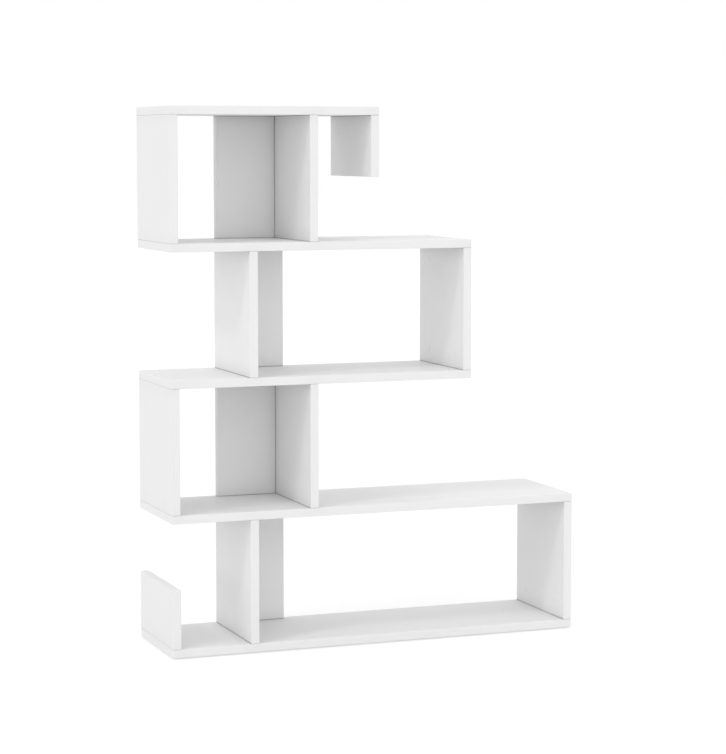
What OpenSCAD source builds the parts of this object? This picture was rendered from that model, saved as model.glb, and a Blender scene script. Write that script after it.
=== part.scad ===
// Staircase bookshelf in white melamine-faced board, flat-pack construction, millimetres.
// Five full-depth shelves carry four bays. The uprights stand between the shelves on cam
// fittings and dowels, and a narrow back panel stiffens every bay. The origin is on the floor
// at the middle of the lowest shelf, +X to the right, +Y to the wall, +Z up.

/* [Overall size] */
// Width of the two lowest shelves
base_w = 920; // [800:5:1200]
// Width of the third and fourth shelves
mid_w = 675; // [500:5:900]
// Width of the top shelf
top_w = 461; // [421:5:641]
// Depth of the shelves, front edge to rear edge
depth = 250; // [200:5:350]
// Clear height between one shelf and the next
bay_h = 265; // [200:5:400]

/* [Boards] */
// Thickness of every board
board_t = 18; // [16:1:22]
// Thickness of the glued edge banding
band_t = 1; // [0.4:0.1:2]
// Width of the small eased edge around every board
ease = 0.6; // [0.3:0.1:0.9]

/* [Uprights] */
// Left end to the divider of the first and third bays
divider_x = 172; // [130:2:230]
// Width of the back panels, which also sets the divider of the second and fourth bays
back_w = 134; // [120:2:190]
// Height of the low upstand at the left end of the lowest shelf
upstand_h = 126; // [80:2:190]
// Height of the short panel that hangs from the right end of the top shelf
drop_h = 130; // [80:2:190]

/* [Cam fittings] */
// Diameter of the cam housing
cam_d = 15; // [12:0.5:18]
// How far the cam housing goes past the middle of the board
cam_past = 3.5; // [3:0.5:4]
// End of the upright to the centre of the cam
cam_reach = 34; // [28:1:44]
// Front or rear edge of the upright to the centre of the cam
cam_inset = 50; // [32:1:60]
// Free edge of a back panel to the centre of its cam
back_cam_inset = 52; // [44:1:54]
// Diameter of the cam bolt's thread
bolt_thread_d = 5; // [4:0.5:6]
// Length of the thread that is screwed into the shelf
bolt_thread_l = 11; // [8:0.5:13]
// Number of ridges on the thread
bolt_ridges = 5; // [3:1:6]
// Diameter of the cam bolt's collar, which rests on the shelf
bolt_collar_d = 7; // [6.8:0.2:7.2]
// Diameter of the cam bolt's shank
bolt_shank_d = 5.8; // [5:0.2:6.4]
// Diameter of the cam bolt's head
bolt_head_d = 6.4; // [6:0.2:6.8]
// Diameter of the neck that the cam grips
bolt_neck_d = 3.6; // [3:0.2:4.4]
// Height that a cover cap stands above the board
cap_t = 0.8; // [0.5:0.1:2]
// How far a cover cap overlaps the edge of the cam's bore
cap_lip = 1.2; // [0.8:0.1:2.5]

/* [Dowels] */
// Diameter of the wooden dowels
dowel_d = 8; // [6:0.5:10]
// Length of the wooden dowels
dowel_l = 30; // [24:1:40]
// Depth of the dowel's hole in the shelf
dowel_seat = 10; // [8:0.5:12]
// Cam to the dowel beside it
dowel_step = 32; // [24:1:38]
// Free edge of a back panel to the centre of its dowel
back_dowel_inset = 20; // [12:1:24]

/* [Floor glides] */
// Diameter of a floor glide
glide_d = 22; // [16:1:30]
// Height of a floor glide
glide_h = 3; // [2:0.5:5]
// Edges of the lowest shelf to the centre of a corner glide
glide_inset = 30; // [20:1:45]
// Diameter of the nail that holds a glide
nail_d = 1.8; // [1.4:0.1:2.4]
// Depth of the nail in the shelf
nail_l = 12; // [8:0.5:14]

/* [Wall brackets] */
// Width of a wall bracket
bracket_w = 20; // [15:1:26]
// Length of both legs of a wall bracket
bracket_leg = 25; // [20:1:35]
// Bend of a wall bracket to the hole in each of its legs
bracket_hole = 15; // [12:1:18]
// Thickness of the bracket's steel
bracket_t = 2; // [1.5:0.1:3]
// Upright beside a wall bracket to the bracket's centre line
bracket_x = 28; // [20:1:34]
// Diameter of the hole for the wall screw
wall_hole_d = 5; // [4:0.1:6]
// Diameter of the screw that holds a bracket to the shelf
screw_d = 3.5; // [3:0.1:4]
// Depth of that screw in the shelf
screw_l = 13; // [10:0.5:14]

/* [Hidden] */
$fn = 48;

// Clearance on the radius of each fitting that is held in its hole
fit_gap = 0.05;
// Clearance on the radius of each piece that passes freely through a hole
free_gap = 0.3;
// Extra depth of each blind hole below the piece that sits in it
hole_gap = 0.5;
// Overshoot of every cutting shape
over = 1;

// Colours
BOARD_WHITE = [0.93, 0.93, 0.93];
BAND_WHITE = [0.91, 0.91, 0.91];
ZINC = [0.62, 0.63, 0.64];
STEEL = [0.74, 0.75, 0.76];
CAP_WHITE = [0.88, 0.88, 0.88];
BEECH = [0.82, 0.66, 0.46];

// Main planes and places
LEFT = -base_w / 2;
FRONT = -depth / 2;
REAR = depth / 2;
low_x = LEFT + divider_x;
high_x = low_x + back_w;
shelf_w = [base_w, base_w, mid_w, mid_w, top_w];
TOP = len(shelf_w) - 1;

// Height of the underside of a shelf, counted from 0
function level(i) = glide_h + i * (board_t + bay_h);

// Which way a cam's mouth faces, as a turn about Z
TO_RIGHT = 0;
TO_REAR = 90;
TO_LEFT = 180;

// An upright: [left face, lower end, height, joined at its foot, joined at its head, cam turn]
function full_upright(x, bay, turn) = [x, level(bay) + board_t, bay_h, true, true, turn];
function standing_upright(x, bay, h, turn) = [x, level(bay) + board_t, h, true, false, turn];
function hanging_upright(x, bay, h, turn) = [x, level(bay + 1) - h, h, false, true, turn];

UPSTAND_1 = standing_upright(LEFT, 0, upstand_h, TO_RIGHT);
DIVIDER_1 = full_upright(low_x, 0, TO_RIGHT);
RIGHT_1 = full_upright(LEFT + base_w - board_t, 0, TO_LEFT);
LEFT_2 = full_upright(LEFT, 1, TO_RIGHT);
DIVIDER_2 = full_upright(high_x, 1, TO_RIGHT);
DIVIDER_3 = full_upright(low_x, 2, TO_RIGHT);
RIGHT_3 = full_upright(LEFT + mid_w - board_t, 2, TO_LEFT);
LEFT_4 = full_upright(LEFT, 3, TO_RIGHT);
DIVIDER_4 = full_upright(high_x, 3, TO_RIGHT);
DROP_4 = hanging_upright(LEFT + top_w - board_t, 3, drop_h, TO_LEFT);
UPRIGHTS = [
    UPSTAND_1, DIVIDER_1, RIGHT_1, LEFT_2, DIVIDER_2, DIVIDER_3, RIGHT_3, LEFT_4, DIVIDER_4, DROP_4
];

// A back panel: [left edge, lower end, free edge is the right one]
function right_of_divider(bay) = [low_x + board_t, level(bay) + board_t, true];
function left_of_divider(bay) = [low_x, level(bay) + board_t, false];
BACKS = [right_of_divider(0), left_of_divider(1), right_of_divider(2), left_of_divider(3)];

// A joint: [x, y, z on the shelf's face, 0 at a foot or 1 at a head, cam turn]. The cams of the
// uprights get cover caps, and those of the back panels face the wall and get none.
function upright_joints(u, y) = [
    for (end = [0, 1]) if (u[3 + end])
        for (side = [-1, 1]) [u[0] + board_t / 2, side * y, u[1] + end * u[2], end, u[5]]
];
function back_joints(b, inset) = [
    for (end = [0, 1])
        [b[0] + (b[2] ? back_w - inset : inset), REAR - board_t / 2, b[1] + end * bay_h, end, TO_REAR]
];
cam_y = depth / 2 - cam_inset;
dowel_y = cam_y - dowel_step;
CAPPED_CAM_JOINTS = [for (u = UPRIGHTS) each upright_joints(u, cam_y)];
REAR_CAM_JOINTS = [for (b = BACKS) each back_joints(b, back_cam_inset)];
CAM_JOINTS = concat(CAPPED_CAM_JOINTS, REAR_CAM_JOINTS);
DOWEL_JOINTS = concat(
    [for (u = UPRIGHTS) each upright_joints(u, dowel_y)],
    [for (b = BACKS) each back_joints(b, back_dowel_inset)]
);
// Whether a joint lies on either face of shelf i
function on_shelf(j, i) = abs(j[2] - level(i) - board_t / 2) < board_t / 2 + over;

// Cam fitting, along the joint's own axes: +Z into the upright and +X out of the cam's mouth
cam_l = board_t / 2 + cam_past;
bolt_bore_d = bolt_collar_d + 2 * free_gap;
bolt_play = 0.5;
collar_t = 2.5;
ridge_depth = 0.6;
head_l = 3.5;
head_end = cam_reach + head_l / 2;
neck_start = cam_reach - cam_d / 2 - hole_gap;
cam_socket_d = 5;
cam_socket_l = 3;
cam_cross_w = 1.2;
cam_cross_l = 0.6 * cam_d;
peg_l = 2.2;
peg_taper = 0.25;
cap_edge = 0.6 * cap_t;

// Floor glides and their nails
glide_rim = 1;
nail_head_d = 2.6 * nail_d;
nail_head_t = 1;
nail_sunk = 0.3;
nail_tip = 2;
GLIDE_SPOTS = [
    for (x = [LEFT + glide_inset, 0, -LEFT - glide_inset])
        for (y = [FRONT + glide_inset, REAR - glide_inset]) [x, y]
];

// Wall brackets under the rear edge of the top shelf
bend_r = 1.5 * bracket_t;
screw_head_d = 2 * screw_d;
screw_head_t = 0.6 * screw_d;
screw_head_edge = 0.8;
screw_slot_w = 1;
screw_slot_deep = 1.2;
screw_tip = 3;
BRACKET_SPOTS = [LEFT + board_t + bracket_x, high_x + board_t + bracket_x];

// Which edges of a board are banded: [left, right, front, rear, bottom, top]
SHELF_EDGES = [1, 1, 1, 1, 0, 0];
UPRIGHT_EDGES = [0, 0, 1, 1, 0, 0];
UPSTAND_EDGES = [0, 0, 1, 1, 0, 1];
DROP_EDGES = [0, 0, 1, 1, 1, 0];
BACK_RIGHT_EDGE = [0, 1, 0, 0, 0, 0];
BACK_LEFT_EDGE = [1, 0, 0, 0, 0, 0];

// Square of size [a, b] with its corners cut off
module eased_square(a, b) {
    polygon([
        [ease, 0], [a - ease, 0], [a, ease], [a, b - ease],
        [a - ease, b], [ease, b], [0, b - ease], [0, ease]
    ]);
}

// Block with all twelve edges eased
module eased_block(size) {
    intersection() {
        linear_extrude(size[2]) eased_square(size[0], size[1]);
        translate([0, size[1], 0]) rotate([90, 0, 0])
            linear_extrude(size[1]) eased_square(size[0], size[2]);
        rotate([90, 0, 90]) linear_extrude(size[0]) eased_square(size[1], size[2]);
    }
}

// The board without its banding
module board_core(corner, size, edges) {
    translate(corner) intersection() {
        eased_block(size);
        translate([edges[0], edges[2], edges[4]] * band_t)
            cube(size - [edges[0] + edges[1], edges[2] + edges[3], edges[4] + edges[5]] * band_t);
    }
}

// One strip of banding: the part of the whole board that lies in a box
module band_strip(size, low, high) {
    intersection() {
        eased_block(size);
        translate(low) cube(high - low);
    }
}

// The strips of banding on a board, the front and rear ones over the ends of the others
module board_bands(corner, size, edges) {
    y_low = edges[2] * band_t;
    y_high = size[1] - edges[3] * band_t;
    translate(corner) {
        if (edges[0] > 0)
            band_strip(size, [0, y_low, 0], [band_t, y_high, size[2]]);
        if (edges[1] > 0)
            band_strip(size, [size[0] - band_t, y_low, 0], [size[0], y_high, size[2]]);
        if (edges[2] > 0)
            band_strip(size, [0, 0, 0], [size[0], band_t, size[2]]);
        if (edges[3] > 0)
            band_strip(size, [0, y_high, 0], size);
        if (edges[4] > 0)
            band_strip(size, [0, y_low, 0], [size[0], y_high, band_t]);
        if (edges[5] > 0)
            band_strip(size, [0, y_low, size[2] - band_t], [size[0], y_high, size[2]]);
    }
}

// Moves a fitting to its joint
module at_joint(j) {
    translate([j[0], j[1], j[2]]) rotate([0, 0, j[4]]) rotate([j[3] * 180, 0, 0]) children();
}

// Holes of a cam fitting in the upright and in the shelf
module cam_holes_in_upright() {
    translate([0, 0, -over]) cylinder(d = bolt_bore_d, h = cam_reach + over);
    translate([board_t / 2 + over, 0, cam_reach]) rotate([0, -90, 0])
        cylinder(d = cam_d + 2 * fit_gap, h = cam_l + hole_gap + over);
}

module cam_hole_in_shelf() {
    translate([0, 0, -bolt_thread_l - hole_gap])
        cylinder(d = bolt_thread_d + 2 * fit_gap, h = bolt_thread_l + hole_gap + over);
}

// Holes of a dowel in the upright and in the shelf
module dowel_hole_in_upright() {
    translate([0, 0, -over])
        cylinder(d = dowel_d + 2 * fit_gap, h = dowel_l - dowel_seat + 2 * hole_gap + over);
}

module dowel_hole_in_shelf() {
    translate([0, 0, -dowel_seat])
        cylinder(d = dowel_d + 2 * fit_gap, h = dowel_seat + over);
}

// Shelf i without its banding
module shelf_core(i) {
    difference() {
        board_core([LEFT, FRONT, level(i)], [shelf_w[i], depth, board_t], SHELF_EDGES);
        for (j = CAM_JOINTS) if (on_shelf(j, i)) at_joint(j) cam_hole_in_shelf();
        for (j = DOWEL_JOINTS) if (on_shelf(j, i)) at_joint(j) dowel_hole_in_shelf();
        if (i == 0)
            for (s = GLIDE_SPOTS) translate([s[0], s[1], glide_h - over])
                cylinder(d = nail_d + 2 * fit_gap, h = nail_l + hole_gap + over);
        if (i == TOP)
            for (x = BRACKET_SPOTS) translate([x, REAR - bracket_hole, level(TOP) - over])
                cylinder(d = screw_d + 2 * fit_gap, h = screw_l + hole_gap + over);
    }
}

module shelf_bands(i) {
    board_bands([LEFT, FRONT, level(i)], [shelf_w[i], depth, board_t], SHELF_EDGES);
}

// An upright without its banding
module upright_core(u, edges) {
    difference() {
        board_core([u[0], FRONT, u[1]], [board_t, depth, u[2]], edges);
        for (j = upright_joints(u, cam_y)) at_joint(j) cam_holes_in_upright();
        for (j = upright_joints(u, dowel_y)) at_joint(j) dowel_hole_in_upright();
    }
}

module upright_bands(u, edges) {
    board_bands([u[0], FRONT, u[1]], [board_t, depth, u[2]], edges);
}

// A back panel without its banding
module back_core(b) {
    difference() {
        board_core([b[0], REAR - board_t, b[1]], [back_w, board_t, bay_h],
            b[2] ? BACK_RIGHT_EDGE : BACK_LEFT_EDGE);
        for (j = back_joints(b, back_cam_inset)) at_joint(j) cam_holes_in_upright();
        for (j = back_joints(b, back_dowel_inset)) at_joint(j) dowel_hole_in_upright();
    }
}

module back_band(b) {
    board_bands([b[0], REAR - board_t, b[1]], [back_w, board_t, bay_h],
        b[2] ? BACK_RIGHT_EDGE : BACK_LEFT_EDGE);
}

// Cam housing: a die-cast drum with a cross slot in its face and a pocket for the bolt's head
module cam_housing() {
    socket_x = board_t / 2 - cam_socket_l;
    difference() {
        translate([board_t / 2 - cam_l, 0, cam_reach]) rotate([0, 90, 0]) cylinder(d = cam_d, h = cam_l);
        translate([0, 0, cam_reach - cam_d]) cylinder(d = bolt_neck_d + 2 * bolt_play, h = cam_d);
        translate([0, 0, head_end - head_l - bolt_play])
            cylinder(d = bolt_head_d + 2 * bolt_play, h = head_l + 2 * bolt_play);
        translate([socket_x, 0, cam_reach]) rotate([0, 90, 0])
            cylinder(d = cam_socket_d, h = cam_socket_l + over);
        for (turn = [0, 90]) translate([socket_x + cam_socket_l / 2, 0, cam_reach]) rotate([turn, 0, 0])
            translate([0, -cam_cross_l / 2, -cam_cross_w / 2])
                cube([cam_socket_l, cam_cross_l, cam_cross_w]);
    }
}

// Cam bolt: a ridged thread in the shelf, a collar on its face, a shank, a neck and a head
module cam_bolt() {
    thread_r = bolt_thread_d / 2;
    pitch = bolt_thread_l / bolt_ridges;
    rotate_extrude() polygon(concat(
        [[0, -bolt_thread_l]],
        [for (k = [0 : bolt_ridges - 1]) each [
            [thread_r - ridge_depth, -bolt_thread_l + k * pitch],
            [thread_r, -bolt_thread_l + (k + 0.5) * pitch]
        ]],
        [
            [thread_r - ridge_depth, 0], [bolt_collar_d / 2, 0], [bolt_collar_d / 2, collar_t],
            [bolt_shank_d / 2, collar_t + 1], [bolt_shank_d / 2, neck_start],
            [bolt_neck_d / 2, neck_start], [bolt_neck_d / 2, head_end - head_l],
            [bolt_head_d / 2, head_end - head_l], [bolt_head_d / 2, head_end - 1],
            [bolt_head_d / 2 - 1, head_end], [0, head_end]
        ]
    ));
}

// Cover cap: a thin disc over the cam with a peg in its slot
module cover_cap() {
    cap_r = cam_d / 2 + cap_lip;
    translate([board_t / 2, 0, cam_reach]) rotate([0, 90, 0]) rotate_extrude() polygon([
        [0, -peg_l], [cam_socket_d / 2 - fit_gap - peg_taper, -peg_l], [cam_socket_d / 2 - fit_gap, 0],
        [cap_r, 0], [cap_r, cap_t - cap_edge], [cap_r - cap_edge, cap_t], [0, cap_t]
    ]);
}

// Wooden dowel with chamfered ends
module dowel() {
    r = dowel_d / 2;
    translate([0, 0, -dowel_seat]) rotate_extrude() polygon([
        [0, 0], [r - 1, 0], [r, 1], [r, dowel_l - 1], [r - 1, dowel_l], [0, dowel_l]
    ]);
}

// Floor glide: a plastic disc with a rounded rim and a recess for the nail's head
module glide() {
    r = glide_d / 2;
    rotate_extrude() polygon([
        [nail_head_d / 2 + fit_gap, 0], [r - glide_rim, 0], [r, glide_rim], [r, glide_h],
        [nail_d / 2 + fit_gap, glide_h], [nail_d / 2 + fit_gap, nail_sunk + nail_head_t],
        [nail_head_d / 2 + fit_gap, nail_sunk + nail_head_t]
    ]);
}

module glide_nail() {
    end = glide_h + nail_l;
    rotate_extrude() polygon([
        [0, nail_sunk], [nail_head_d / 2, nail_sunk], [nail_head_d / 2, nail_sunk + nail_head_t],
        [nail_d / 2, nail_sunk + nail_head_t], [nail_d / 2, end - nail_tip], [0, end]
    ]);
}

// Wall bracket: bent steel, one leg under the shelf and the other in the wall's plane
module wall_bracket() {
    difference() {
        translate([-bracket_w / 2, 0, 0]) rotate([90, 0, 90]) linear_extrude(bracket_w) {
            translate([-bracket_leg, -bracket_t]) square([bracket_leg - bend_r, bracket_t]);
            translate([-bracket_t, -bracket_leg]) square([bracket_t, bracket_leg - bend_r]);
            translate([-bend_r, -bend_r]) intersection() {
                difference() {
                    circle(bend_r);
                    circle(bend_r - bracket_t);
                }
                square(bend_r);
            }
        }
        translate([0, -bracket_hole, -bracket_t - over])
            cylinder(d = screw_d + 2 * free_gap, h = bracket_t + 2 * over);
        translate([0, over, -bracket_hole]) rotate([90, 0, 0])
            cylinder(d = wall_hole_d, h = bracket_t + 2 * over);
    }
}

// Pan-head screw up through the bracket into the shelf
module bracket_screw() {
    head_r = screw_head_d / 2;
    low = -bracket_t - screw_head_t;
    screw_slot_l = 0.6 * screw_head_d;
    difference() {
        rotate_extrude() polygon([
            [0, low], [head_r - screw_head_edge, low], [head_r, low + screw_head_edge],
            [head_r, -bracket_t],
            [screw_d / 2, -bracket_t], [screw_d / 2, screw_l - screw_tip], [0, screw_l]
        ]);
        for (turn = [0, 90]) rotate([0, 0, turn])
            translate([-screw_slot_l / 2, -screw_slot_w / 2, low - over])
                cube([screw_slot_l, screw_slot_w, over + screw_slot_deep]);
    }
}

// Shelves
module bottom_shelf() { color(BOARD_WHITE) shelf_core(0); }
module second_shelf() { color(BOARD_WHITE) shelf_core(1); }
module third_shelf() { color(BOARD_WHITE) shelf_core(2); }
module fourth_shelf() { color(BOARD_WHITE) shelf_core(3); }
module top_shelf() { color(BOARD_WHITE) shelf_core(TOP); }

// Uprights and back panels, bay by bay from the floor
module bay_1_upstand() { color(BOARD_WHITE) upright_core(UPSTAND_1, UPSTAND_EDGES); }
module bay_1_divider() { color(BOARD_WHITE) upright_core(DIVIDER_1, UPRIGHT_EDGES); }
module bay_1_right_side() { color(BOARD_WHITE) upright_core(RIGHT_1, UPRIGHT_EDGES); }
module bay_1_back_panel() { color(BOARD_WHITE) back_core(BACKS[0]); }
module bay_2_left_side() { color(BOARD_WHITE) upright_core(LEFT_2, UPRIGHT_EDGES); }
module bay_2_divider() { color(BOARD_WHITE) upright_core(DIVIDER_2, UPRIGHT_EDGES); }
module bay_2_back_panel() { color(BOARD_WHITE) back_core(BACKS[1]); }
module bay_3_divider() { color(BOARD_WHITE) upright_core(DIVIDER_3, UPRIGHT_EDGES); }
module bay_3_right_side() { color(BOARD_WHITE) upright_core(RIGHT_3, UPRIGHT_EDGES); }
module bay_3_back_panel() { color(BOARD_WHITE) back_core(BACKS[2]); }
module bay_4_left_side() { color(BOARD_WHITE) upright_core(LEFT_4, UPRIGHT_EDGES); }
module bay_4_divider() { color(BOARD_WHITE) upright_core(DIVIDER_4, UPRIGHT_EDGES); }
module bay_4_drop_panel() { color(BOARD_WHITE) upright_core(DROP_4, DROP_EDGES); }
module bay_4_back_panel() { color(BOARD_WHITE) back_core(BACKS[3]); }

// Edge banding
module bottom_shelf_bands() { color(BAND_WHITE) shelf_bands(0); }
module second_shelf_bands() { color(BAND_WHITE) shelf_bands(1); }
module third_shelf_bands() { color(BAND_WHITE) shelf_bands(2); }
module fourth_shelf_bands() { color(BAND_WHITE) shelf_bands(3); }
module top_shelf_bands() { color(BAND_WHITE) shelf_bands(TOP); }
module bay_1_upstand_bands() { color(BAND_WHITE) upright_bands(UPSTAND_1, UPSTAND_EDGES); }
module bay_1_divider_bands() { color(BAND_WHITE) upright_bands(DIVIDER_1, UPRIGHT_EDGES); }
module bay_1_right_side_bands() { color(BAND_WHITE) upright_bands(RIGHT_1, UPRIGHT_EDGES); }
module bay_1_back_panel_band() { color(BAND_WHITE) back_band(BACKS[0]); }
module bay_2_left_side_bands() { color(BAND_WHITE) upright_bands(LEFT_2, UPRIGHT_EDGES); }
module bay_2_divider_bands() { color(BAND_WHITE) upright_bands(DIVIDER_2, UPRIGHT_EDGES); }
module bay_2_back_panel_band() { color(BAND_WHITE) back_band(BACKS[1]); }
module bay_3_divider_bands() { color(BAND_WHITE) upright_bands(DIVIDER_3, UPRIGHT_EDGES); }
module bay_3_right_side_bands() { color(BAND_WHITE) upright_bands(RIGHT_3, UPRIGHT_EDGES); }
module bay_3_back_panel_band() { color(BAND_WHITE) back_band(BACKS[2]); }
module bay_4_left_side_bands() { color(BAND_WHITE) upright_bands(LEFT_4, UPRIGHT_EDGES); }
module bay_4_divider_bands() { color(BAND_WHITE) upright_bands(DIVIDER_4, UPRIGHT_EDGES); }
module bay_4_drop_panel_bands() { color(BAND_WHITE) upright_bands(DROP_4, DROP_EDGES); }
module bay_4_back_panel_band() { color(BAND_WHITE) back_band(BACKS[3]); }

// Fittings
module cam_housings() { color(ZINC) for (j = CAM_JOINTS) at_joint(j) cam_housing(); }
module cam_bolts() { color(STEEL) for (j = CAM_JOINTS) at_joint(j) cam_bolt(); }
module cam_cover_caps() { color(CAP_WHITE) for (j = CAPPED_CAM_JOINTS) at_joint(j) cover_cap(); }
module wooden_dowels() { color(BEECH) for (j = DOWEL_JOINTS) at_joint(j) dowel(); }
module floor_glides() { color(CAP_WHITE) for (s = GLIDE_SPOTS) translate([s[0], s[1], 0]) glide(); }
module glide_nails() { color(STEEL) for (s = GLIDE_SPOTS) translate([s[0], s[1], 0]) glide_nail(); }
module wall_brackets() {
    color(STEEL) for (x = BRACKET_SPOTS) translate([x, REAR, level(TOP)]) wall_bracket();
}
module wall_bracket_screws() {
    color(STEEL) for (x = BRACKET_SPOTS) translate([x, REAR - bracket_hole, level(TOP)]) bracket_screw();
}

bottom_shelf();
second_shelf();
third_shelf();
fourth_shelf();
top_shelf();
bay_1_upstand();
bay_1_divider();
bay_1_right_side();
bay_1_back_panel();
bay_2_left_side();
bay_2_divider();
bay_2_back_panel();
bay_3_divider();
bay_3_right_side();
bay_3_back_panel();
bay_4_left_side();
bay_4_divider();
bay_4_drop_panel();
bay_4_back_panel();
bottom_shelf_bands();
second_shelf_bands();
third_shelf_bands();
fourth_shelf_bands();
top_shelf_bands();
bay_1_upstand_bands();
bay_1_divider_bands();
bay_1_right_side_bands();
bay_1_back_panel_band();
bay_2_left_side_bands();
bay_2_divider_bands();
bay_2_back_panel_band();
bay_3_divider_bands();
bay_3_right_side_bands();
bay_3_back_panel_band();
bay_4_left_side_bands();
bay_4_divider_bands();
bay_4_drop_panel_bands();
bay_4_back_panel_band();
cam_housings();
cam_bolts();
cam_cover_caps();
wooden_dowels();
floor_glides();
glide_nails();
wall_brackets();
wall_bracket_screws();
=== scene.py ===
"""Looks for a white staircase bookshelf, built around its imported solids.

The boards, edge banding and fittings keep their own solids. Each gets softly rounded edges and a
finish made from nodes: melamine paper with a faint embossed grain, glued banding, die-cast zinc,
plated steel, moulded plastic and beech. The cover caps, the wall brackets and the brackets' screws
give way to finer pieces. The studio is a white floor in an even white room, with soft lamps.
"""

import logging
import math
from dataclasses import dataclass, field
from enum import Enum

import bmesh
import bpy
from mathutils import Matrix, Vector


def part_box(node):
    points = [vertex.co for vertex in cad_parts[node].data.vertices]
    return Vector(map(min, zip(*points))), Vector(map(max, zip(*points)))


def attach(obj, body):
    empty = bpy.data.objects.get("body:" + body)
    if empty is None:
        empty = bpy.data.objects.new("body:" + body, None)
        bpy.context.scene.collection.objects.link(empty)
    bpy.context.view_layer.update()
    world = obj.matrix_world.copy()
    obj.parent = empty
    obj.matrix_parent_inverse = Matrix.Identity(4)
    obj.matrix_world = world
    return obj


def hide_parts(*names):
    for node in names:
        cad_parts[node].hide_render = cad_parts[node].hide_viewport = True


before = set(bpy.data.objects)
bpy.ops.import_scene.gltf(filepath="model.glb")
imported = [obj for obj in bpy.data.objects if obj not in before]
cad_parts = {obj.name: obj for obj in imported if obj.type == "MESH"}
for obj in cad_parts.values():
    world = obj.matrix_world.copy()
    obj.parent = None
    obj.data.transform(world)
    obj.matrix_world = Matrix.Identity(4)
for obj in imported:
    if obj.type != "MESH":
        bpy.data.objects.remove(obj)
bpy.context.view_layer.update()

BODY = "root"
MM = 0.001
WELD = 0.001 * MM  # corners closer than this are one corner
ROUNDING_STEPS = 2  # faces across a rounded edge
SOLID_EDGE = 28.0  # degrees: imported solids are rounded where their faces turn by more
SMOOTH_UP_TO = 38.0  # degrees: pieces are shaded smooth where their faces turn by less
WHITE = (1.0, 1.0, 1.0, 1.0)
LOG = logging.getLogger("bookshelf")

Triple = tuple[float, float, float]
Colour = Triple
Box = tuple[Vector, Vector]
Stops = tuple[tuple[float, float], ...]
Profile = tuple[tuple[float, float], ...]


class Grain(Enum):
    """Which way the embossed grain runs on a board."""

    ALONG_SHELF = "X"
    UP_PANEL = "Z"


class Level:
    """A number that changes over a surface: an output socket that takes part in plain maths."""

    kind = "ShaderNodeMath"

    def __init__(self, tree: "NodeGraph", socket: bpy.types.NodeSocket) -> None:
        """Wrap a socket.

        Args:
            tree: the node tree that the socket belongs to.
            socket: the output socket.
        """
        self.tree = tree
        self.socket = socket

    def _work(
        self, operation: str, *values: "Level | float | Triple", clamp: bool = False
    ) -> bpy.types.Node:
        """Add one node of maths.

        Args:
            operation: the node's operation.
            values: its values in order.
            clamp: whether the result is kept from 0 to 1.

        Returns:
            The node.
        """
        settings = {"operation": operation} | ({"use_clamp": True} if clamp else {})
        return self.tree.node(self.kind, settings, dict(enumerate(values)))

    def __add__(self, other: "Level | float") -> "Level":
        """This plus another value."""
        return Level(self.tree, self._work("ADD", self, other).outputs[0])

    __radd__ = __add__

    def __sub__(self, other: "Level | float") -> "Level":
        """This less another value."""
        return Level(self.tree, self._work("SUBTRACT", self, other).outputs[0])

    def __rsub__(self, other: float) -> "Level":
        """A number less this."""
        return Level(self.tree, self._work("SUBTRACT", other, self).outputs[0])

    def __mul__(self, other: "Level | float") -> "Level":
        """This times another value."""
        return Level(self.tree, self._work("MULTIPLY", self, other).outputs[0])

    __rmul__ = __mul__

    def __pow__(self, other: float) -> "Level":
        """This to a power."""
        return Level(self.tree, self._work("POWER", self, other).outputs[0])

    def least(self, other: "Level") -> "Level":
        """The smaller of this and another value."""
        return Level(self.tree, self._work("MINIMUM", self, other).outputs[0])

    def at_most_one(self) -> "Level":
        """This, kept from 0 to 1."""
        return Level(self.tree, self._work("MULTIPLY", self, 1.0, clamp=True).outputs[0])

    def within(self, reach: float) -> "Level":
        """1 where this is 0, falling evenly to 0 where this is the reach or more."""
        fading = self._work("MULTIPLY_ADD", self, -1 / reach, 1.0, clamp=True)
        return Level(self.tree, fading.outputs[0])


class Place(Level):
    """A point, size or direction that changes over a surface."""

    kind = "ShaderNodeVectorMath"

    def __add__(self, other: "Place | Triple") -> "Place":
        """This plus another vector."""
        return Place(self.tree, self._work("ADD", self, other).outputs[0])

    def __sub__(self, other: "Place | Triple") -> "Place":
        """This less another vector."""
        return Place(self.tree, self._work("SUBTRACT", self, other).outputs[0])

    def __mul__(self, other: "Place | Triple") -> "Place":
        """This times another vector, axis by axis."""
        return Place(self.tree, self._work("MULTIPLY", self, other).outputs[0])

    def __abs__(self) -> "Place":
        """This without its signs."""
        return Place(self.tree, self._work("ABSOLUTE", self).outputs[0])

    def positive(self) -> "Place":
        """This with 0 for what is below 0."""
        return Place(self.tree, self._work("MAXIMUM", self, (0.0, 0.0, 0.0)).outputs[0])

    def length(self) -> Level:
        """How long this is."""
        return Level(self.tree, self._work("LENGTH", self).outputs["Value"])


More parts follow.
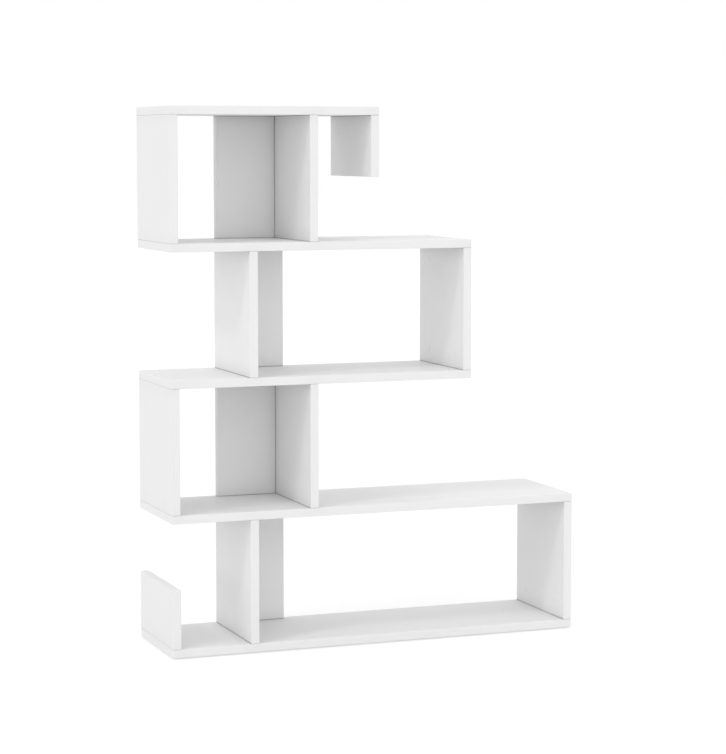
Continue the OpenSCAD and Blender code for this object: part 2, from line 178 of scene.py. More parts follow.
class NodeGraph:
    """A node tree that is written node by node."""

    def __init__(self, tree: bpy.types.NodeTree) -> None:
        """Take a node tree and empty it.

        Args:
            tree: the tree of a material or a world.
        """
        self.tree = tree
        self.tree.nodes.clear()

    def node(
        self, kind: str, settings: dict | None = None, sockets: dict | None = None
    ) -> bpy.types.Node:
        """Make any node, with its settings first and its sockets after.

        Args:
            kind: the node's type.
            settings: attributes by name, with a colour ramp's stops under "stops".
            sockets: values, Level objects or output sockets, by the input's name or number.

        Returns:
            The node.
        """
        made = self.tree.nodes.new(kind)
        for key, value in (settings or {}).items():
            if key == "stops":
                self._set_stops(made, value)
            else:
                setattr(made, key, value)
        for key, value in (sockets or {}).items():
            if isinstance(value, Level):
                value = value.socket
            if isinstance(value, bpy.types.NodeSocket):
                self.tree.links.new(value, made.inputs[key])
            else:
                made.inputs[key].default_value = value
        return made

    @staticmethod
    def _set_stops(ramp: bpy.types.Node, stops: Stops) -> None:
        """Give a ramp its stops.

        Args:
            ramp: the Color Ramp node.
            stops: a place from 0 to 1 and a grey from 0 to 1 for each stop.
        """
        elements = ramp.color_ramp.elements
        while len(elements) < len(stops):
            elements.new(1.0)
        for element, (place, grey) in zip(elements, stops):
            element.position = place
            element.color = (grey, grey, grey, 1.0)

    def seen_directly(self) -> Level:
        """Tell what the camera, a gloss or a clear material sees directly.

        Returns:
            1 for what they see directly, else 0.
        """
        path = self.node("ShaderNodeLightPath")
        camera = Level(self, path.outputs["Is Camera Ray"])
        shiny = Level(self, path.outputs["Is Glossy Ray"])
        clear = Level(self, path.outputs["Is Transmission Ray"])
        return (camera + shiny + clear).at_most_one()


class FinishTree(NodeGraph):
    """The node tree of one material, ready for a Principled surface."""

    def __init__(self, name: str) -> None:
        """Start an empty material.

        Args:
            name: the material's name.
        """
        self.material = bpy.data.materials.new(name)
        self.material.use_nodes = True
        super().__init__(self.material.node_tree)
        self.output = self.node("ShaderNodeOutputMaterial")

    def place(self, stretch: Triple = (1.0, 1.0, 1.0)) -> bpy.types.NodeSocket:
        """The point on the object in metres, scaled along each axis.

        Args:
            stretch: the scale along X, Y and Z, which leaves metres when all are 1.

        Returns:
            A vector socket.
        """
        point = self.node("ShaderNodeTexCoord").outputs["Object"]
        scaled = self.node("ShaderNodeMapping", None, {"Vector": point, "Scale": stretch})
        return scaled.outputs[0]

    def to_nearest(self, walls: list[Box], lift: float) -> Level:
        """The distance from a surface to the nearest board that stands out from it.

        Args:
            walls: the lowest and highest corners of the boards that touch this one.
            lift: how far off the surface the distance is taken, in metres. It keeps flush joints
                out, and at 0 they count.

        Returns:
            The distance in metres.
        """
        point = Place(self, self.node("ShaderNodeTexCoord").outputs["Object"])
        out = Place(self, self.node("ShaderNodeNewGeometry").outputs["True Normal"])
        lifted = point + out * (lift, lift, lift)
        nearest = None
        for low, high in walls:
            middle, half = (low + high) / 2, (high - low) / 2
            gap = (abs(lifted - tuple(middle)) - tuple(half)).positive().length()
            nearest = gap if nearest is None else nearest.least(gap)
        return nearest

    def noise(
        self, place: bpy.types.NodeSocket, scale: float, detail: float = 2.0, wander: float = 0.0
    ) -> Level:
        """Soft noise from 0 to 1.

        Args:
            place: the point that the noise is read at.
            scale: how many features there are in a unit of the point.
            detail: how many finer layers are added.
            wander: how far the pattern is distorted.

        Returns:
            The noise.
        """
        sockets = {"Vector": place, "Scale": scale, "Detail": detail, "Distortion": wander}
        return Level(self, self.node("ShaderNodeTexNoise", None, sockets).outputs["Fac"])

    def ramp(self, value: Level, stops: Stops) -> Level:
        """Remap a value through stops.

        Args:
            value: the value, from 0 to 1.
            stops: a place and a result for each stop.

        Returns:
            The remapped value.
        """
        remap = self.node("ShaderNodeValToRGB", {"stops": stops}, {"Fac": value})
        return Level(self, remap.outputs[0])

    def blend(self, factor: Level, first: Colour, second: Colour) -> bpy.types.NodeSocket:
        """Mix two colours.

        Args:
            factor: 0 for the first colour and 1 for the second.
            first: a linear colour.
            second: a linear colour.

        Returns:
            A colour socket.
        """
        sockets = {0: factor, 6: (*first, 1.0), 7: (*second, 1.0)}
        return self.node("ShaderNodeMix", {"data_type": "RGBA"}, sockets).outputs[2]

    def relief(self, height: Level, depth: float) -> bpy.types.NodeSocket:
        """A bumped normal.

        Args:
            height: the height, from 0 to 1.
            depth: the real height of 1, in metres.

        Returns:
            A normal socket.
        """
        sockets = {"Height": height, "Distance": depth, "Strength": 1.0}
        return self.node("ShaderNodeBump", None, sockets).outputs["Normal"]

    def close(self, shader: bpy.types.Node) -> bpy.types.Material:
        """Send a shader to the output, and hand over the material."""
        self.tree.links.new(shader.outputs[0], self.output.inputs["Surface"])
        return self.material

    def finish(self, sockets: dict) -> bpy.types.Material:
        """Close the tree with a Principled surface.

        Args:
            sockets: the Principled shader's values and links by name.

        Returns:
            The material.
        """
        return self.close(self.node("ShaderNodeBsdfPrincipled", None, sockets))


@dataclass(frozen=True)
class Creases:
    """Painted shade in the inside corners, and a dark line along flush joints between boards.

    The line and the shade are painted shade lying in an inside corner, and the seam is a dark
    joint line along a flush joint. Each has its width and the tone that it starts with.
    """

    line: float = 3.0 * MM
    line_tone: float = 0.35
    shade: float = 40 * MM
    shade_tone: float = 0.115
    fading: float = 2.0
    lift: float = 20 * MM
    seam: float = 0.7 * MM
    seam_tone: float = 0.45
    painted_shade_and_joint_colour: Colour = (0.10, 0.10, 0.10)

    def colour(
        self, tree: FinishTree, clean: bpy.types.NodeSocket, walls: list[Box]
    ) -> bpy.types.NodeSocket:
        """Paint shade into a clean colour in the inside corners, and darken it along the joints.

        Args:
            tree: the finish.
            clean: the colour away from the corners.
            walls: the boards that touch this one.

        Returns:
            The colour.
        """
        if not walls:
            return clean
        # the line and the shade are painted shade in the inside corners; the seam is a dark joint
        # line
        corner, joint = tree.to_nearest(walls, self.lift), tree.to_nearest(walls, 0.0)
        line = corner.within(self.line) ** self.fading * self.line_tone
        shade = corner.within(self.shade) ** self.fading * self.shade_tone
        seam = joint.within(self.seam) * self.seam_tone
        sockets = {0: line + shade + seam, 6: clean, 7: (*self.painted_shade_and_joint_colour, 1.0)}
        return tree.node("ShaderNodeMix", {"data_type": "RGBA"}, sockets).outputs[2]


@dataclass(frozen=True)
class Melamine:
    """White melamine paper pressed on a board, with a faint grain embossed in it.

    Lines and pores run along the grain, patches are broad and the pearl is fine. The scales are in
    features for each metre, and the tones are shares of the way from the colour to the shade.
    """

    grain: Grain
    colour: Colour = (0.880, 0.880, 0.882)
    shade: Colour = (0.826, 0.826, 0.829)
    line_width: float = 2.6 * MM
    line_length: float = 150 * MM
    line_wander: float = 0.4
    line_tone: float = 0.36
    line_relief: float = 0.3
    pore_width: float = 0.7 * MM
    pore_length: float = 16 * MM
    pore_stops: Stops = ((0.58, 0.0), (0.70, 1.0))
    pore_tone: float = 0.14
    pore_relief: float = 0.6
    pore_depth: float = 0.03 * MM
    patch_scale: float = 5.0
    patch_tone: float = 0.16
    pearl_size: float = 0.8 * MM
    pearl_depth: float = 0.012 * MM
    roughness: float = 0.50
    patch_roughness: float = 0.05
    pore_roughness: float = 0.10
    gloss: float = 0.25
    creases: Creases = Creases()

    def _along_grain(self, width: float, length: float) -> Triple:
        """The scale that stretches a pattern along the grain.

        Args:
            width: the pattern's size across the grain, in metres.
            length: its size along the grain, in metres.

        Returns:
            The scale along X, Y and Z.
        """
        across, along = 1 / width, 1 / length
        if self.grain is Grain.ALONG_SHELF:
            return (along, across, across)
        return (across, across, along)

    def material(self, name: str, walls: list[Box]) -> bpy.types.Material:
        """Build the finish of one board.

        Args:
            name: the board's name.
            walls: the boards that touch it.

        Returns:
            The material.
        """
        tree = FinishTree(f"melamine_{name}")
        along_lines = tree.place(self._along_grain(self.line_width, self.line_length))
        along_pores = tree.place(self._along_grain(self.pore_width, self.pore_length))
        metres = tree.place()
        lines = tree.noise(along_lines, 1.0, detail=3.0, wander=self.line_wander)
        pores = tree.ramp(tree.noise(along_pores, 1.0), self.pore_stops)
        patches = tree.noise(metres, self.patch_scale)
        pearl = tree.noise(metres, 1 / self.pearl_size)
        tone = lines * self.line_tone + patches * self.patch_tone + pores * self.pore_tone
        height = pearl * (self.pearl_depth / self.pore_depth) + lines * self.line_relief
        rough = self.roughness + self.patch_roughness * patches + self.pore_roughness * pores
        clean = tree.blend(tone, self.colour, self.shade)
        return tree.finish({
            # the base colour carries painted shade in the inside corners, and dark joint lines
            "Base Color": self.creases.colour(tree, clean, walls),
            "Roughness": rough,
            "Specular IOR Level": self.gloss,
            "Normal": tree.relief(height - pores * self.pore_relief, self.pore_depth),
        })


@dataclass(frozen=True)
class Banding:
    """White plastic edge banding, trimmed and buffed, with fine marks."""

    colour: Colour = (0.883, 0.883, 0.885)
    shade: Colour = (0.838, 0.838, 0.842)
    patch_scale: float = 9.0
    patch_tone: float = 0.20
    mark_size: float = 0.9 * MM
    mark_tone: float = 0.12
    mark_depth: float = 0.01 * MM
    roughness: float = 0.46
    patch_roughness: float = 0.08
    gloss: float = 0.25
    creases: Creases = Creases()

    def material(self, name: str, walls: list[Box]) -> bpy.types.Material:
        """Build the finish of one board's banding.

        Args:
            name: the banding's name.
            walls: the boards that touch the banded board.

        Returns:
            The material.
        """
        tree = FinishTree(f"banding_{name}")
        metres = tree.place()
        patches = tree.noise(metres, self.patch_scale, detail=3.0)
        marks = tree.noise(metres, 1 / self.mark_size, detail=3.0)
        tone = patches * self.patch_tone + marks * self.mark_tone
        clean = tree.blend(tone, self.colour, self.shade)
        return tree.finish({
            # the base colour carries painted shade in the inside corners, and dark joint lines
            "Base Color": self.creases.colour(tree, clean, walls),
            "Roughness": self.roughness + self.patch_roughness * patches,
            "Specular IOR Level": self.gloss,
            "Normal": tree.relief(marks, self.mark_depth),
        })


@dataclass(frozen=True)
class MouldedPlastic:
    """White moulded plastic with a fine spark-eroded texture."""

    colour: Colour = (0.840, 0.842, 0.845)
    shade: Colour = (0.780, 0.782, 0.787)
    patch_scale: float = 120.0
    patch_tone: float = 0.35
    texture_size: float = 0.35 * MM
    texture_depth: float = 0.012 * MM
    texture_roughness: float = 0.10
    roughness: float = 0.34

    def material(self) -> bpy.types.Material:
        """Build the finish.

        Returns:
            The material.
        """
        tree = FinishTree("moulded_plastic")
        metres = tree.place()
        texture = tree.noise(metres, 1 / self.texture_size)
        patches = tree.noise(metres, self.patch_scale)
        return tree.finish({
            "Base Color": tree.blend(patches * self.patch_tone, self.colour, self.shade),
            "Roughness": self.roughness + self.texture_roughness * texture,
            "Normal": tree.relief(texture, self.texture_depth),
        })


@dataclass(frozen=True)
class CastZinc:
    """Die-cast zinc with a cool dull skin and flow marks."""

    colour: Colour = (0.54, 0.55, 0.56)
    shade: Colour = (0.36, 0.37, 0.39)
    flow_scale: float = 240.0
    flow_wander: float = 1.5
    flow_stops: Stops = ((0.35, 0.0), (0.70, 1.0))
    grain_size: float = 0.5 * MM
    grain_depth: float = 0.02 * MM
    grain_roughness: float = 0.20
    roughness: float = 0.40

    def material(self) -> bpy.types.Material:
        """Build the finish.

        Returns:
            The material.
        """
        tree = FinishTree("cast_zinc")
        metres = tree.place()
        flow = tree.noise(metres, self.flow_scale, detail=4.0, wander=self.flow_wander)
        grains = tree.noise(metres, 1 / self.grain_size)
        return tree.finish({
            "Base Color": tree.blend(tree.ramp(flow, self.flow_stops), self.colour, self.shade),
            "Metallic": 1.0,
            "Roughness": self.roughness + self.grain_roughness * grains,
            "Normal": tree.relief(grains, self.grain_depth),
        })


@dataclass(frozen=True)
class PlatedSteel:
    """Zinc-plated pressed steel, semi-bright, with faint rolling marks."""

    colour: Colour = (0.66, 0.67, 0.68)
    shade: Colour = (0.50, 0.51, 0.53)
    cloud_scale: float = 160.0
    cloud_stops: Stops = ((0.30, 0.0), (0.75, 1.0))
    cloud_roughness: float = 0.16
    rolled_stretch: Triple = (150.0, 4000.0, 4000.0)
    rolled_depth: float = 0.008 * MM
    roughness: float = 0.24

    def material(self) -> bpy.types.Material:
        """Build the finish.

        Returns:
            The material.
        """
        tree = FinishTree("plated_steel")
        rolled = tree.noise(tree.place(self.rolled_stretch), 1.0)
        cloud = tree.noise(tree.place(), self.cloud_scale, detail=3.0)
        return tree.finish({
            "Base Color": tree.blend(tree.ramp(cloud, self.cloud_stops), self.colour, self.shade),
            "Metallic": 1.0,
            "Roughness": self.roughness + self.cloud_roughness * cloud,
            "Normal": tree.relief(rolled, self.rolled_depth),
        })


@dataclass(frozen=True)
class Beech:
    """Turned beech, pale brown with short darker rays along the dowel."""

    colour: Colour = (0.62, 0.43, 0.26)
    ray: Colour = (0.40, 0.24, 0.13)
    ring_stretch: Triple = (700.0, 700.0, 60.0)
    ring_wander: float = 0.6
    ring_tone: float = 0.5
    ring_roughness: float = 0.15
    ray_stretch: Triple = (1800.0, 1800.0, 350.0)
    ray_stops: Stops = ((0.60, 0.0), (0.70, 1.0))
    ray_tone: float = 0.5
    ray_depth: float = 0.03 * MM
    roughness: float = 0.55

    def material(self) -> bpy.types.Material:
        """Build the finish.

        Returns:
            The material.
        """
        tree = FinishTree("turned_beech")
        rings = tree.noise(tree.place(self.ring_stretch), 1.0, detail=3.0, wander=self.ring_wander)
        rays = tree.ramp(tree.noise(tree.place(self.ray_stretch), 1.0, detail=1.0), self.ray_stops)
        tone = rings * self.ring_tone + rays * self.ray_tone
        return tree.finish({
            "Base Color": tree.blend(tone, self.colour, self.ray),
            "Roughness": self.roughness + self.ring_roughness * rings,
            "Normal": tree.relief(rays, self.ray_depth),
        })


def dress(names: list[str], material: bpy.types.Material) -> None:
    """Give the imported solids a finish.

    Args:
        names: the solids' names.
        material: the finish.
    """
    for name in names:
        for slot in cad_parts[name].material_slots:
            slot.material = material


def round_edges(thing: bpy.types.Object, radius: float, angle: float) -> bpy.types.Modifier:
    """Round the sharp edges of an object.

    Args:
        thing: the object.
        radius: the radius of the rounding, in metres.
        angle: the turn from face to face, in degrees, above which an edge is rounded.

    Returns:
        The modifier.
    """
    rounding = thing.modifiers.new("rounded_edges", "BEVEL")
    rounding.width = radius
    rounding.segments = ROUNDING_STEPS
    rounding.limit_method = "ANGLE"
    rounding.angle_limit = math.radians(angle)
    return rounding


def soften(names: list[str], radius: float) -> None:
    """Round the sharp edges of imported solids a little.

    Args:
        names: the solids' names.
        radius: the radius of the rounding, in metres.
    """
    for name in names:
        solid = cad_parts[name]
        weld = solid.modifiers.new("joined_corners", "WELD")
        weld.merge_threshold = WELD
        round_edges(solid, radius, SOLID_EDGE).harden_normals = True


def separate_boxes(node: str) -> list[Box]:
    """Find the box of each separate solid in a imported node.

    Args:
        node: the node's name.

    Returns:
        Their lowest and highest corners.
    """
    work = bmesh.new()
    work.from_mesh(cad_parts[node].data)
    bmesh.ops.remove_doubles(work, verts=work.verts, dist=WELD)
    waiting, found = set(work.verts), []
    while waiting:
        reached, solid = [waiting.pop()], []
        while reached:
            corner = reached.pop()
            solid.append(corner.co.copy())
            for edge in corner.link_edges:
                other = edge.other_vert(corner)
                if other in waiting:
                    waiting.remove(other)
                    reached.append(other)
        low = Vector([min(point[i] for point in solid) for i in range(3)])
        high = Vector([max(point[i] for point in solid) for i in range(3)])
        found.append((low, high))
    work.free()
    return sorted(found, key=lambda box: tuple(box[0]))


def circle(radius: float, sides: int) -> list[tuple[float, float]]:
    """The corners of a regular polygon about the origin.

    Args:
        radius: how far they are from the origin.
        sides: how many there are.

    Returns:
        The corners, anticlockwise from the X axis.
    """
    angles = [2 * math.pi * k / sides for k in range(sides)]
    return [(radius * math.cos(angle), radius * math.sin(angle)) for angle in angles]


def turn(work: bmesh.types.BMesh, profile: Profile, sides: int) -> list[bmesh.types.BMVert]:
    """Turn a profile about the Z axis.

    Args:
        work: the mesh that the turned surface is added to.
        profile: the radius and height of each ring in order, where a radius of 0 is a point.
        sides: how many sides a ring has.

    Returns:
        The corners of the first ring.
    """
    rings = []
    for radius, height in profile:
        points = circle(radius, sides) if radius else [(0.0, 0.0)]
        rings.append([work.verts.new((x, y, height)) for x, y in points])
    for first, second in zip(rings, rings[1:]):
        for k in range(sides):
            corners = [first[k % len(first)], first[(k + 1) % len(first)],
                       second[(k + 1) % len(second)], second[k % len(second)]]
            work.faces.new(list(dict.fromkeys(corners)))
    return rings[0]


def add_object(name: str, data: bpy.types.ID) -> bpy.types.Object:
    """Put an object in the scene.

    Args:
        name: the object's name.
        data: its mesh, lamp or camera.

    Returns:
        The object.
    """
    thing = bpy.data.objects.new(name, data)
    bpy.context.scene.collection.objects.link(thing)
    return thing


def make_piece(
    name: str, meshes: list[bmesh.types.BMesh], node: str, material: bpy.types.Material
) -> bpy.types.Object:
    """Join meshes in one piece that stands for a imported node.

    Args:
        name: the piece's name.
        meshes: its meshes, which are used up.
        node: the node that it stands for.
        material: its finish.

    Returns:
        The piece.
    """
    joined = bmesh.new()
    for part in meshes:
        kept = bpy.data.meshes.new("kept")
        part.to_mesh(kept)
        part.free()
        joined.from_mesh(kept)
        bpy.data.meshes.remove(kept)
    bmesh.ops.recalc_face_normals(joined, faces=joined.faces)
    mesh = bpy.data.meshes.new(name)
    joined.to_mesh(mesh)
    joined.free()
    mesh.shade_smooth()
    mesh.set_sharp_from_angle(angle=math.radians(SMOOTH_UP_TO))
    mesh.materials.append(material)
    piece = add_object(name, mesh)
    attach(piece, BODY)
    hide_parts(node)
    LOG.info("%s: %d faces", name, len(mesh.polygons))
    return piece


@dataclass
class Boards:
    """The shelves, uprights and back panels, and the banding on their edges."""

    bands: dict[str, str] = field(default_factory=dict)
    boxes: dict[str, Box] = field(default_factory=dict)
    edge_radius: float = 0.15 * MM
    joint_gap: float = 1.5 * MM

    def __post_init__(self) -> None:
        """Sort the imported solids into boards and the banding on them.

        A board's box reaches over the banding on its front and rear edges, so that joints show
        there too.
        """
        for name in sorted(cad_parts):
            board = name.removesuffix("s").removesuffix("_band")
            if board != name.removesuffix("s"):
                self.bands[name] = board
            elif name.endswith("_shelf") or name.startswith("bay_"):
                self.boxes[name] = tuple(Vector(corner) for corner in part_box(name))
        for band, board in self.bands.items():
            (low, high), (start, end) = self.boxes[board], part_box(band)
            low.y, high.y = min(low.y, start[1]), max(high.y, end[1])

    def touching(self, board: str) -> list[Box]:
        """Find the boards that a board meets.

        Args:
            board: the board's name.

        Returns:
            Their boxes.
        """
        low, high = self.boxes[board]
        found = []
        for name, (start, end) in self.boxes.items():
            gaps = [max(start[i] - high[i], low[i] - end[i]) for i in range(3)]
            if name != board and max(gaps) < self.joint_gap:
                found.append((start, end))
        return found

    def build(self) -> None:
        """Dress the boards and their banding, and round their edges."""
        for board in self.boxes:
            grain = Grain.ALONG_SHELF if board.endswith("_shelf") else Grain.UP_PANEL
            others = self.touching(board)
            dress([board], Melamine(grain).material(board, others))
            LOG.info("board %s meets %d others", board, len(others))
        for band, board in self.bands.items():
            dress([band], Banding().material(band, self.touching(board)))
            LOG.info("banding %s", band)
        soften([*self.boxes, *self.bands], self.edge_radius)


@dataclass
class Fittings:
    """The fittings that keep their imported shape: cams, bolts, dowels, glides and nails."""

    plastic: tuple[str, ...] = ("floor_glides",)
    zinc: tuple[str, ...] = ("cam_housings",)
    steel: tuple[str, ...] = ("cam_bolts", "glide_nails")
    wood: tuple[str, ...] = ("wooden_dowels",)
    edge_radius: float = 0.12 * MM

    def build(self) -> None:
        """Dress the fittings and round the edges that show."""
        dress(list(self.plastic), MouldedPlastic().material())
        dress(list(self.zinc), CastZinc().material())
        dress(list(self.steel), PlatedSteel().material())
        dress(list(self.wood), Beech().material())
        soften([*self.plastic, *self.zinc], self.edge_radius)
        for name in self.plastic + self.zinc + self.steel + self.wood:
            LOG.info("fitting %s", name)


@dataclass
class CoverCaps:
    """Moulded caps over the cams: a low dome with a ring, a thumbnail notch and a tapered peg.

    The dome's profile goes from its middle to its underside, in shares of the radius and height.
    """

    radius: float = 8.7 * MM
    height: float = 0.8 * MM
    dome: Profile = (
        (0.0, 1.0), (0.20, 0.995), (0.40, 0.975), (0.54, 0.95), (0.575, 0.93),
        (0.600, 0.78), (0.635, 0.78), (0.660, 0.91), (0.80, 0.85), (0.90, 0.76),
        (0.955, 0.62), (0.985, 0.42), (1.0, 0.20), (0.994, 0.0),
    )
    peg_root: float = 2.4 * MM
    peg_tip: float = 2.15 * MM
    peg_edge: float = 0.2 * MM
    peg_length: float = 2.2 * MM
    notch_start: float = 0.88
    notch_half: float = math.radians(16)
    notch_depth: float = 0.55 * MM
    sides: int = 72
    face_gap: float = 0.5 * MM

    def _cap(self) -> bmesh.types.BMesh:
        """Make one cap that faces up, with its underside at height 0.

        Returns:
            The mesh.
        """
        work = bmesh.new()
        turn(work, (
            *((out * self.radius, up * self.height) for out, up in self.dome),
            (self.peg_root, 0.0), (self.peg_tip, self.peg_edge - self.peg_length),
            (self.peg_tip - self.peg_edge, -self.peg_length), (0.0, -self.peg_length),
        ), self.sides)
        for corner in work.verts:
            reach = corner.co.xy.length
            angle = abs(math.atan2(corner.co.y, corner.co.x))
            if reach > self.notch_start * self.radius and angle < self.notch_half:
                bite = self.notch_depth * (1 + math.cos(math.pi * angle / self.notch_half)) / 2
                corner.co.xy *= 1 - bite / reach
        return work

    def build(self) -> None:
        """Put a cap on every capped cam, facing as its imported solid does."""
        caps = []
        uprights = [box for name, box in Boards().boxes.items() if name.startswith("bay_")]
        notch_up = Matrix.Rotation(math.radians(90), 4, "Z")
        for low, high in separate_boxes("cam_cover_caps"):
            middle = (low + high) / 2
            right_faces = [end.x for start, end in uprights if start.z < middle.z < end.z]
            seat = low.x + self.peg_length
            faces_right = any(abs(seat - face) < self.face_gap for face in right_faces)
            side, face_x = (1, seat) if faces_right else (-1, high.x - self.peg_length)
            cap = self._cap()
            spin = Matrix.Rotation(math.radians(90 * side), 4, "Y") @ notch_up
            cap.transform(Matrix.Translation((face_x, middle.y, middle.z)) @ spin)
            caps.append(cap)
        plastic = MouldedPlastic().material()
        make_piece("cover_caps", caps, "cam_cover_caps", plastic)


@dataclass
class WallBrackets:
    """Bent steel brackets under the top shelf, each with a pressed rib, and their screws.

    The head's curve goes from the flat round its cross recess to its widest ring. Each pair is how
    far the ring lies in from the head's radius and how far it lies over the head's top.
    """

    width: float = 20 * MM
    leg: float = 25 * MM
    thickness: float = 2 * MM
    bend: float = 3 * MM
    corner: float = 4.5 * MM
    corner_steps: int = 8
    edge_radius: float = 0.25 * MM
    edge_angle: float = 50.0
    hole_reach: float = 15 * MM
    hole_sides: int = 32
    shelf_hole: float = 2.05 * MM
    wall_hole: float = 2.5 * MM
    rib_half: float = 3.2 * MM
    rib_reach: float = 8 * MM
    rib_depth: float = 1.4 * MM
    cuts_across: int = 6
    cuts_along: int = 12
    head_radius: float = 3.5 * MM
    head_height: float = 2.1 * MM
    head_curve: Profile = (
        (1.05 * MM, 0.0), (0.60 * MM, 0.10 * MM), (0.28 * MM, 0.42 * MM), (0.06 * MM, 0.85 * MM),
        (0.0, 1.30 * MM),
    )
    cross_long: float = 2.0 * MM
    cross_wide: float = 0.42 * MM
    cross_deep: float = 1.3 * MM
    cross_taper: tuple[float, float] = (0.5, 0.7)
    shank: float = 1.75 * MM
    thread_core: float = 1.40 * MM
    thread_start: float = 1 * MM
    thread_turns: int = 7
    pitch: float = 1.25 * MM
    screw_length: float = 13 * MM
    screw_sides: int = 40

    @property
    def flat(self) -> float:
        """How far a leg runs to the bend."""
        return self.leg - self.bend

    @property
    def curl(self) -> float:
        """How much of the flat plate the bend takes up."""
        return self.bend * math.pi / 2

    def _outline(self) -> list[tuple[float, float]]:
        """Lay the plate out flat, with its corners rounded.

        Returns:
            The points of its outline.
        """
        half, length, r = self.width / 2, 2 * self.flat + self.curl, self.corner
        corners = (
            (half - r, r, -90), (half - r, length - r, 0),
            (r - half, length - r, 90), (r - half, r, 180),
        )
        outline = []
        for x, y, start in corners:
            for k in range(self.corner_steps + 1):
                angle = math.radians(start + 90 * k / self.corner_steps)
                outline.append((x + r * math.cos(angle), y + r * math.sin(angle)))
        return outline

    def _plate(self) -> bmesh.types.BMesh:
        """Cut the flat plate with its holes, finely divided over the bend and the rib.

        Returns:
            The mesh.
        """
        work = bmesh.new()
        loops = [[work.verts.new((x, y, 0.0)) for x, y in self._outline()]]
        shelf_y = self.leg - self.hole_reach
        wall_y = 2 * self.flat + self.curl - self.leg + self.hole_reach
        for middle, radius in ((shelf_y, self.shelf_hole), (wall_y, self.wall_hole)):
            rim = [(x, middle + y, 0.0) for x, y in circle(radius, self.hole_sides)]
            loops.append([work.verts.new(point) for point in rim])
        edges = [work.edges.new((loop[k - 1], loop[k])) for loop in loops for k in range(len(loop))]
        bmesh.ops.triangle_fill(work, edges=edges, use_beauty=True)
        cuts, bend_y = [], self.flat + self.curl / 2
        for k in range(-self.cuts_along, self.cuts_along + 1):
            along = bend_y + self.rib_reach * k / self.cuts_along
            cuts.append(((0.0, along, 0.0), (0.0, 1.0, 0.0)))
        for k in range(-self.cuts_across, self.cuts_across + 1):
            across = self.rib_half * k / self.cuts_across
            cuts.append(((across, 0.0, 0.0), (1.0, 0.0, 0.0)))
        for point, normal in cuts:
            everything = [*work.verts, *work.edges, *work.faces]
            bmesh.ops.bisect_plane(
                work, geom=everything, plane_co=point, plane_no=normal, dist=WELD
            )
        made = bmesh.ops.extrude_face_region(work, geom=list(work.faces))
        for corner in made["geom"]:
            if isinstance(corner, bmesh.types.BMVert):
                corner.co.z = self.thickness
        return work

    def _bent(self) -> bmesh.types.BMesh:
        """Bend the plate and press its rib: the bend's outer corner is at the origin.

        Returns:
            The mesh.
        """
        work = self._plate()
        flat, curl = self.flat, self.curl
        on_each_axis = math.sqrt(0.5)
        for corner in work.verts:
            across, along, deep = corner.co
            if along < flat:
                y, z = along - self.leg, -deep
            elif along < flat + curl:
                angle = (along - flat) / self.bend
                y = -self.bend + (self.bend - deep) * math.sin(angle)
                z = -self.bend + (self.bend - deep) * math.cos(angle)
            else:
                y, z = -deep, -self.bend - (along - flat - curl)
            from_bend = abs(along - flat - curl / 2)
            if abs(across) < self.rib_half and from_bend < self.rib_reach:
                swell = (1 + math.cos(math.pi * across / self.rib_half)) / 2
                fade = (1 + math.cos(math.pi * from_bend / self.rib_reach)) / 2
                push = self.rib_depth * swell * fade * on_each_axis
                y, z = y - push, z - push
            corner.co = (across, y, z)
        return work

    def _screw(self) -> bmesh.types.BMesh:
        """Make a pan-head screw that points up, with the bracket's underside at height 0.

        Returns:
            The mesh.
        """
        work = bmesh.new()
        low, core = -self.head_height, self.thread_core
        threads, start = [], self.thickness + self.thread_start
        for k in range(self.thread_turns):
            threads.append((core, start + k * self.pitch))
            threads.append((self.shank, start + (k + 0.5) * self.pitch))
        rim = turn(work, (
            *((self.head_radius - inward, low + up) for inward, up in self.head_curve),
            (self.head_radius, 0.0), (self.shank, 0.0), (self.shank, self.thickness), *threads,
            (core, start + self.thread_turns * self.pitch),
            (0.0, self.screw_length + self.thickness),
        ), self.screw_sides)
        arm, half = self.cross_long, self.cross_wide
        cross = []
        for cos, sin in ((1, 0), (0, 1), (-1, 0), (0, -1)):
            for x, y in ((arm, -half), (arm, half), (half, half)):
                cross.append((x * cos - y * sin, x * sin + y * cos))
        top = [work.verts.new((x, y, low)) for x, y in cross]
        narrow_x, narrow_y = self.cross_taper
        foot = low + self.cross_deep
        deep = [work.verts.new((x * narrow_x, y * narrow_y, foot)) for x, y in cross]
        for k in range(len(cross)):
            work.faces.new((top[k - 1], top[k], deep[k], deep[k - 1]))
        work.faces.new(deep)
        pairs = [(loop[k - 1], loop[k]) for loop in (top, rim) for k in range(len(loop))]
        edges = [work.edges.get(pair) for pair in pairs]
        bmesh.ops.triangle_fill(work, edges=edges, use_beauty=True)
        return work

    def build(self) -> None:
        """Put up both brackets and drive their screws."""
        brackets, screws = [], []
        for low, high in separate_boxes("wall_brackets"):
            bracket = self._bent()
            middle_x = (low.x + high.x) / 2
            bracket.transform(Matrix.Translation((middle_x, high.y, high.z)))
            brackets.append(bracket)
            screw = self._screw()
            hole = (middle_x, high.y - self.hole_reach, high.z - self.thickness)
            screw.transform(Matrix.Translation(hole))
            screws.append(screw)
        steel = PlatedSteel().material()
        pressed = make_piece("pressed_brackets", brackets, "wall_brackets", steel)
        round_edges(pressed, self.edge_radius, self.edge_angle)
        make_piece("bracket_screws", screws, "wall_bracket_screws", steel)


def toward(azimuth: float, elevation: float) -> Vector:
    """The direction from the object to a lamp.

    Args:
        azimuth: degrees to the right of the front.
        elevation: degrees above the horizon.

    Returns:
        A unit vector.
    """
    around, rise = math.radians(azimuth), math.radians(elevation)
    level = math.cos(rise)
    return Vector((math.sin(around) * level, -math.cos(around) * level, math.sin(rise)))


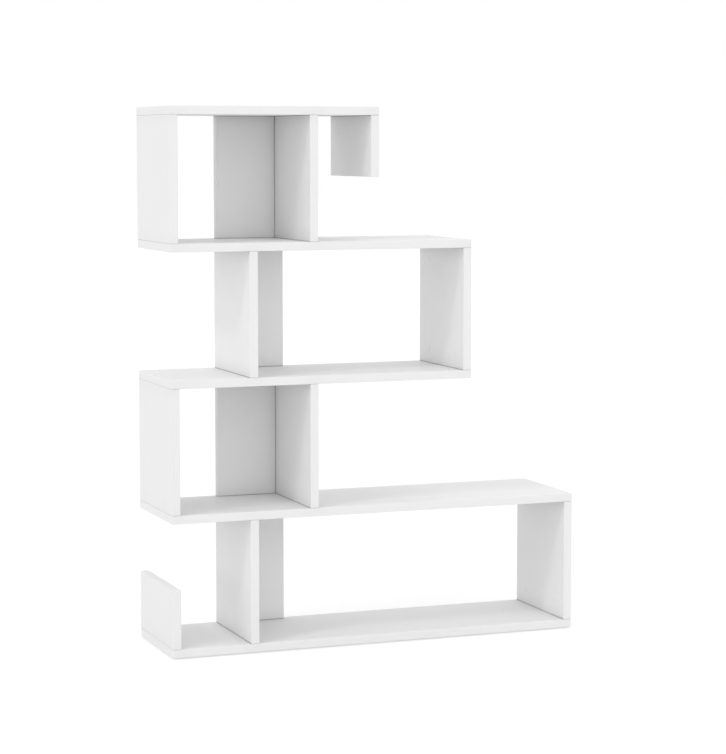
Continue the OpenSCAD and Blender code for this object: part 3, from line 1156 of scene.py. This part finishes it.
@dataclass(frozen=True)
class Lamp:
    """A distant soft lamp, with its place and spread in degrees."""

    name: str
    azimuth: float
    elevation: float
    spread: float
    level: float

    def build(self) -> bpy.types.Object:
        """Hang the lamp.

        Returns:
            The lamp.
        """
        data = bpy.data.lights.new(self.name, "SUN")
        data.energy = self.level
        data.angle = math.radians(self.spread)
        lamp = add_object(self.name, data)
        lamp.rotation_mode = "QUATERNION"
        lamp.rotation_quaternion = (-toward(self.azimuth, self.elevation)).to_track_quat("-Z", "Y")
        return lamp


LAMPS = (
    Lamp("key_lamp", azimuth=-65, elevation=44.6, spread=8, level=0.338),
    Lamp("left_lamp", azimuth=-70, elevation=12, spread=45, level=0.332),
    Lamp("front_lamp", azimuth=10, elevation=12, spread=60, level=0.386),
    Lamp("right_lamp", azimuth=90, elevation=72, spread=45, level=0.186),
)


@dataclass
class Studio:
    """The white floor and room, the soft lamps and the camera.

    The floor lights the shelf with its own colour. What shows of it is a mix of plain white and a
    lit white that takes the shadow.
    """

    sky: float = 0.842
    floor_reach: float = 40.0
    floor_colour: float = 0.80
    shown_shadow: float = 0.42
    shown_white: float = 1.070
    lens: float = 112.5
    stand: Triple = (-1.8149, -4.7950, 1.0742)
    heading: float = 20.858
    tilt: float = 5.645
    lamps: tuple[Lamp, ...] = LAMPS

    def _sky(self) -> None:
        """Light the scene evenly and show plain white behind it."""
        world = bpy.data.worlds.new("white_room")
        bpy.context.scene.world = world
        world.use_nodes = True
        graph = NodeGraph(world.node_tree)
        strength = graph.seen_directly() * (1.0 - self.sky) + self.sky
        shine = graph.node("ShaderNodeBackground", None, {"Color": WHITE, "Strength": strength})
        graph.node("ShaderNodeOutputWorld", None, {"Surface": shine.outputs[0]})

    def _floor(self) -> None:
        """Lay the floor: it shows white, and keeps a light shadow of the shelf."""
        reach = self.floor_reach
        corners = [(x * reach, y * reach, 0.0) for x, y in ((-1, -1), (1, -1), (1, 1), (-1, 1))]
        mesh = bpy.data.meshes.new("floor")
        mesh.from_pydata(corners, [], [(0, 1, 2, 3)])
        floor = add_object("floor", mesh)
        tree = FinishTree("white_floor")
        grey = (self.floor_colour,) * 3
        matt = tree.node("ShaderNodeBsdfDiffuse", None, {"Color": (*grey, 1.0)})
        lit = tree.node("ShaderNodeBsdfDiffuse", None, {"Color": WHITE})
        plain = {"Color": WHITE, "Strength": self.shown_white}
        white = tree.node("ShaderNodeEmission", None, plain)
        shown = tree.node("ShaderNodeMixShader", None, {
            0: self.shown_shadow, 1: white.outputs[0], 2: lit.outputs[0],
        })
        surface = tree.node("ShaderNodeMixShader", None, {
            0: tree.seen_directly(), 1: matt.outputs[0], 2: shown.outputs[0],
        })
        mesh.materials.append(tree.close(surface))

    def _camera(self) -> None:
        """Stand the camera where the photograph was taken from."""
        data = bpy.data.cameras.new("camera")
        data.lens = self.lens
        camera = add_object("camera", data)
        camera.location = self.stand
        camera.rotation_euler = (math.radians(90 - self.tilt), 0.0, math.radians(-self.heading))
        bpy.context.scene.camera = camera

    def build(self) -> None:
        """Set up the room, the lamps and the camera."""
        bpy.context.scene.view_settings.view_transform = "Standard"
        self._sky()
        self._floor()
        for lamp in self.lamps:
            lamp.build()
        self._camera()
        LOG.info("studio: %d lamps", len(self.lamps))


def main() -> None:
    """Build every sub-assembly in order."""
    logging.basicConfig(level=logging.INFO, format="%(name)s %(message)s")
    Boards().build()
    Fittings().build()
    CoverCaps().build()
    WallBrackets().build()
    Studio().build()


if __name__ == "__main__":
    main()
